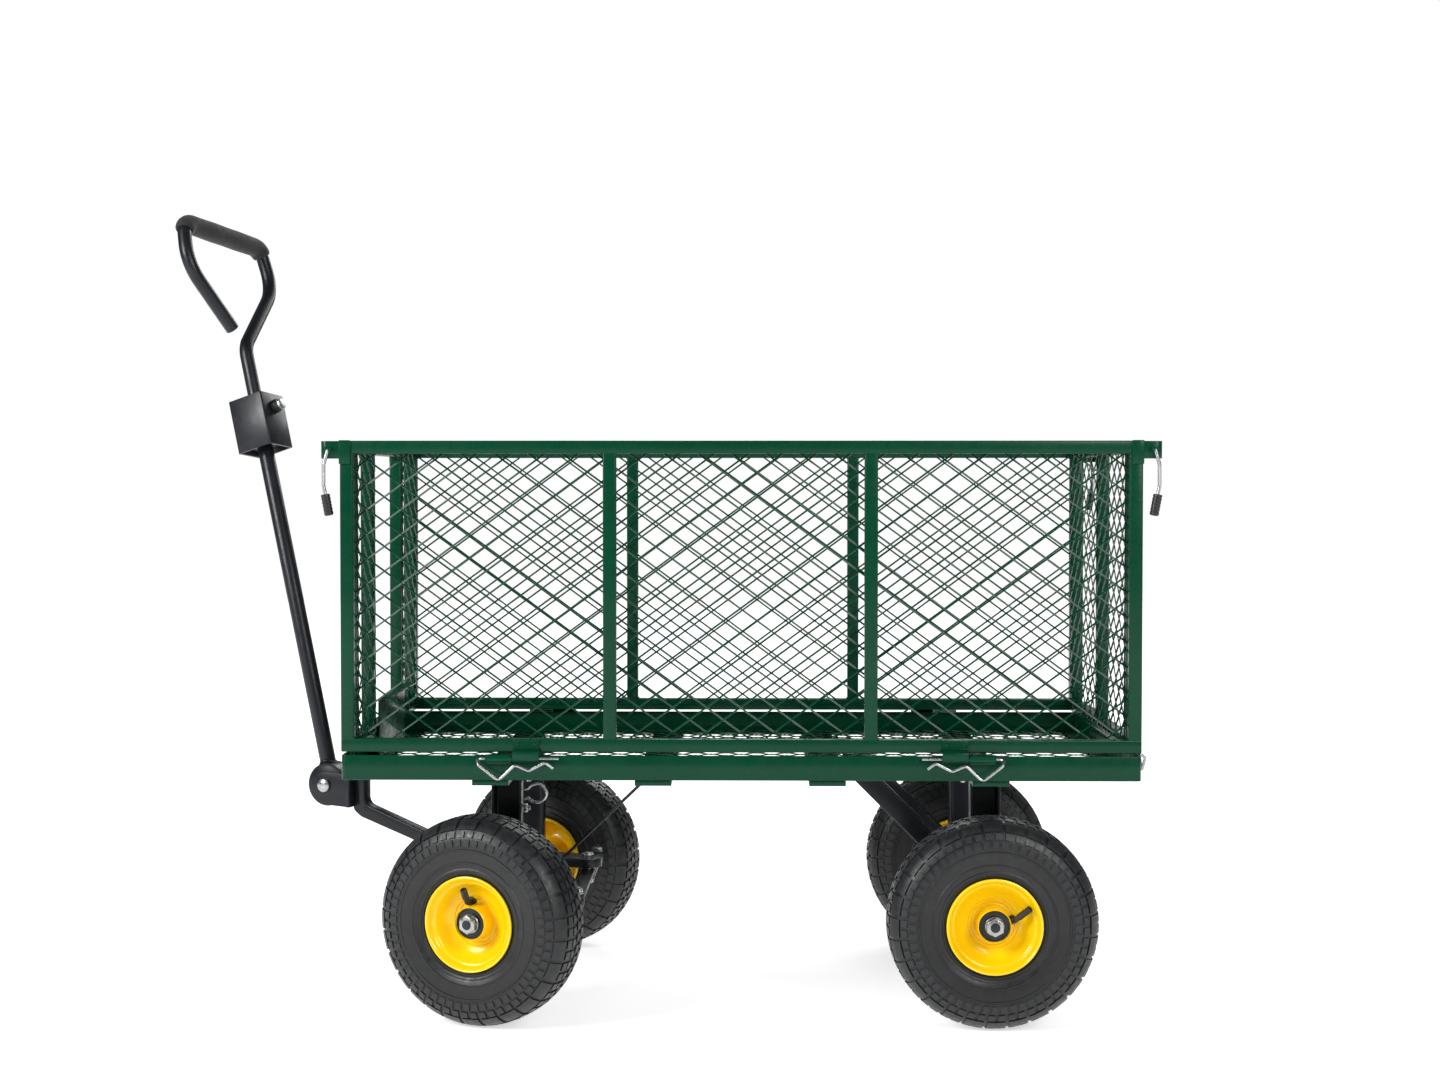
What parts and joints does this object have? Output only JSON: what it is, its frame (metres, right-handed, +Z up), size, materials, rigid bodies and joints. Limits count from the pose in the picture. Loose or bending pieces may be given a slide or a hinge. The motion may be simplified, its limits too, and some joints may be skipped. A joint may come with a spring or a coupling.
{
  "type": "garden cart",
  "caption": "Four-wheeled steel garden cart with fold-down mesh sides, knuckle steering and a tilting pull handle.",
  "frame": {"origin": "middle of the cart's box at ground level", "axes": "+X towards the tailgate, the handle is at -X; +Y to the far side; +Z up"},
  "size_m": [1.3155, 0.6681, 1.051],
  "materials": {
    "green_paint": "glossy dark green paint",
    "black_paint": "satin black paint",
    "zinc_plate": "bright zinc plate",
    "tyre_rubber": "dull moulded rubber",
    "yellow_rim": "glossy yellow paint",
    "grip_foam": "matt closed-cell foam",
    "black_plastic": "matt moulded plastic"
  },
  "bodies": {
    "chassis": {"deck_frame": "green_paint", "deck_floor_mesh": "green_paint", "front_socket_plate": "green_paint", "hinge_pin_near_front": "zinc_plate", "hinge_pin_near_rear": "zinc_plate", "hinge_pin_far_front": "zinc_plate", "hinge_pin_far_rear": "zinc_plate", "hinge_pin_rear_near": "zinc_plate", "hinge_pin_rear_far": "zinc_plate", "front_axle_frame": "black_paint", "front_brace_rod": "black_paint", "steering_pivot_bolt": "zinc_plate", "post_clip": "zinc_plate", "kingpin_near": "zinc_plate", "kingpin_far": "zinc_plate", "rear_axle_frame": "black_paint", "rear_axle_shaft": "zinc_plate", "rear_strut_near": "black_paint", "rear_strut_far": "black_paint", "axle_nut_rear_near": "zinc_plate", "axle_nut_rear_far": "zinc_plate"},
    "side_near": {"side_panel_near": "green_paint", "side_mesh_near": "green_paint"},
    "side_far": {"side_panel_far": "green_paint", "side_mesh_far": "green_paint"},
    "tailgate_panel": {"tailgate": "green_paint", "tailgate_mesh": "green_paint"},
    "front_gate": {"front_panel": "green_paint", "front_mesh_near": "green_paint", "front_mesh_far": "green_paint"},
    "latch_near_front": {"latch_lever_near_front": "zinc_plate", "latch_grip_near_front": "black_plastic"},
    "latch_near_rear": {"latch_lever_near_rear": "zinc_plate", "latch_grip_near_rear": "black_plastic"},
    "latch_far_front": {"latch_lever_far_front": "zinc_plate", "latch_grip_far_front": "black_plastic"},
    "latch_far_rear": {"latch_lever_far_rear": "zinc_plate", "latch_grip_far_rear": "black_plastic"},
    "drawbar_arm": {"drawbar": "black_paint", "tie_rod_bolt": "zinc_plate", "handle_pivot_bolt": "zinc_plate"},
    "handle": {"handle_rod": "black_paint", "coupling_box": "black_paint", "coupling_bolt": "zinc_plate", "upper_handle": "black_paint", "handle_grip": "grip_foam"},
    "knuckle_near_body": {"knuckle_near": "black_paint", "axle_nut_front_near": "zinc_plate"},
    "tie_rod_near_body": {"tie_rod_near": "black_paint"},
    "knuckle_far_body": {"knuckle_far": "black_paint", "axle_nut_front_far": "zinc_plate"},
    "tie_rod_far_body": {"tie_rod_far": "black_paint"},
    "wheel_front_near": {"tyre_front_near": "tyre_rubber", "rim_front_near": "yellow_rim"},
    "wheel_front_far": {"tyre_front_far": "tyre_rubber", "rim_front_far": "yellow_rim"},
    "wheel_rear_near": {"tyre_rear_near": "tyre_rubber", "rim_rear_near": "yellow_rim"},
    "wheel_rear_far": {"tyre_rear_far": "tyre_rubber", "rim_rear_far": "yellow_rim"}
  },
  "joints": [
    {"name": "side_near_fold", "type": "hinge", "parent": "chassis", "child": "side_near", "pos_m": [0.1443, -0.2871, 0.333], "axis": [1, 0, 0], "range_deg": [0, 90]},
    {"name": "side_far_fold", "type": "hinge", "parent": "chassis", "child": "side_far", "pos_m": [0.1443, 0.2349, 0.333], "axis": [-1, 0, 0], "range_deg": [0, 90]},
    {"name": "tailgate_fold", "type": "hinge", "parent": "chassis", "child": "tailgate_panel", "pos_m": [0.6403, -0.0261, 0.333], "axis": [0, 1, 0], "range_deg": [0, 90]},
    {"name": "front_panel_lift", "type": "slide", "parent": "chassis", "child": "front_gate", "axis": [0, 0, 1], "range_m": [0, 0.4]},
    {"name": "steering", "type": "hinge", "parent": "chassis", "child": "drawbar_arm", "pos_m": [-0.1537, -0.0261, 0.16], "axis": [0, 0, 1], "range_deg": [-8, 48]},
    {"name": "handle_tilt", "type": "hinge", "parent": "drawbar_arm", "child": "handle", "pos_m": [-0.42621, 0.07309, 0.2514], "axis": [-0.342, -0.9397, 0], "range_deg": [-14, 85]},
    {"name": "kingpin_near_turn", "type": "hinge", "parent": "chassis", "child": "knuckle_near_body", "pos_m": [-0.1537, -0.1981, 0.13], "axis": [0, 0, 1], "range_deg": [-8, 48]},
    {"name": "tie_rod_near_swing", "type": "hinge", "parent": "drawbar_arm", "child": "tie_rod_near_body", "pos_m": [-0.05973, -0.0603, 0.15], "axis": [0, 0, 1], "range_deg": [-48, 8]},
    {"name": "kingpin_far_turn", "type": "hinge", "parent": "chassis", "child": "knuckle_far_body", "pos_m": [-0.1537, 0.1459, 0.13], "axis": [0, 0, 1], "range_deg": [-8, 48]},
    {"name": "tie_rod_far_swing", "type": "hinge", "parent": "drawbar_arm", "child": "tie_rod_far_body", "pos_m": [-0.05973, -0.0603, 0.15], "axis": [0, 0, 1], "range_deg": [-48, 8]},
    {"name": "latch_near_front_swing", "type": "hinge", "parent": "side_near", "child": "latch_near_front", "pos_m": [-0.35845, -0.2841, 0.71235], "axis": [0, 1, 0], "range_deg": [0, 110]},
    {"name": "latch_near_rear_swing", "type": "hinge", "parent": "side_near", "child": "latch_near_rear", "pos_m": [0.64705, -0.2841, 0.71235], "axis": [0, -1, 0], "range_deg": [0, 110]},
    {"name": "latch_far_front_swing", "type": "hinge", "parent": "side_far", "child": "latch_far_front", "pos_m": [-0.35845, 0.2319, 0.71235], "axis": [0, 1, 0], "range_deg": [0, 110]},
    {"name": "latch_far_rear_swing", "type": "hinge", "parent": "side_far", "child": "latch_far_rear", "pos_m": [0.64705, 0.2319, 0.71235], "axis": [0, -1, 0], "range_deg": [0, 110]},
    {"name": "wheel_front_near_spin", "type": "hinge", "parent": "knuckle_near_body", "child": "wheel_front_near", "pos_m": [-0.17559, -0.25824, 0.13], "axis": [0.342, 0.9397, 0], "continuous": true},
    {"name": "wheel_rear_near_spin", "type": "hinge", "parent": "chassis", "child": "wheel_rear_near", "pos_m": [0.4543, -0.2621, 0.13], "axis": [0, 1, 0], "continuous": true},
    {"name": "wheel_front_far_spin", "type": "hinge", "parent": "knuckle_far_body", "child": "wheel_front_far", "pos_m": [-0.13181, 0.20604, 0.13], "axis": [0.342, 0.9397, 0], "continuous": true},
    {"name": "wheel_rear_far_spin", "type": "hinge", "parent": "chassis", "child": "wheel_rear_far", "pos_m": [0.4543, 0.2099, 0.13], "axis": [0, 1, 0], "continuous": true}
  ],
  "couplings": [
    {"joint": "kingpin_near_turn", "follows": "steering", "ratio": 1},
    {"joint": "tie_rod_near_swing", "follows": "steering", "ratio": -1},
    {"joint": "kingpin_far_turn", "follows": "steering", "ratio": 1},
    {"joint": "tie_rod_far_swing", "follows": "steering", "ratio": -1}
  ]
}
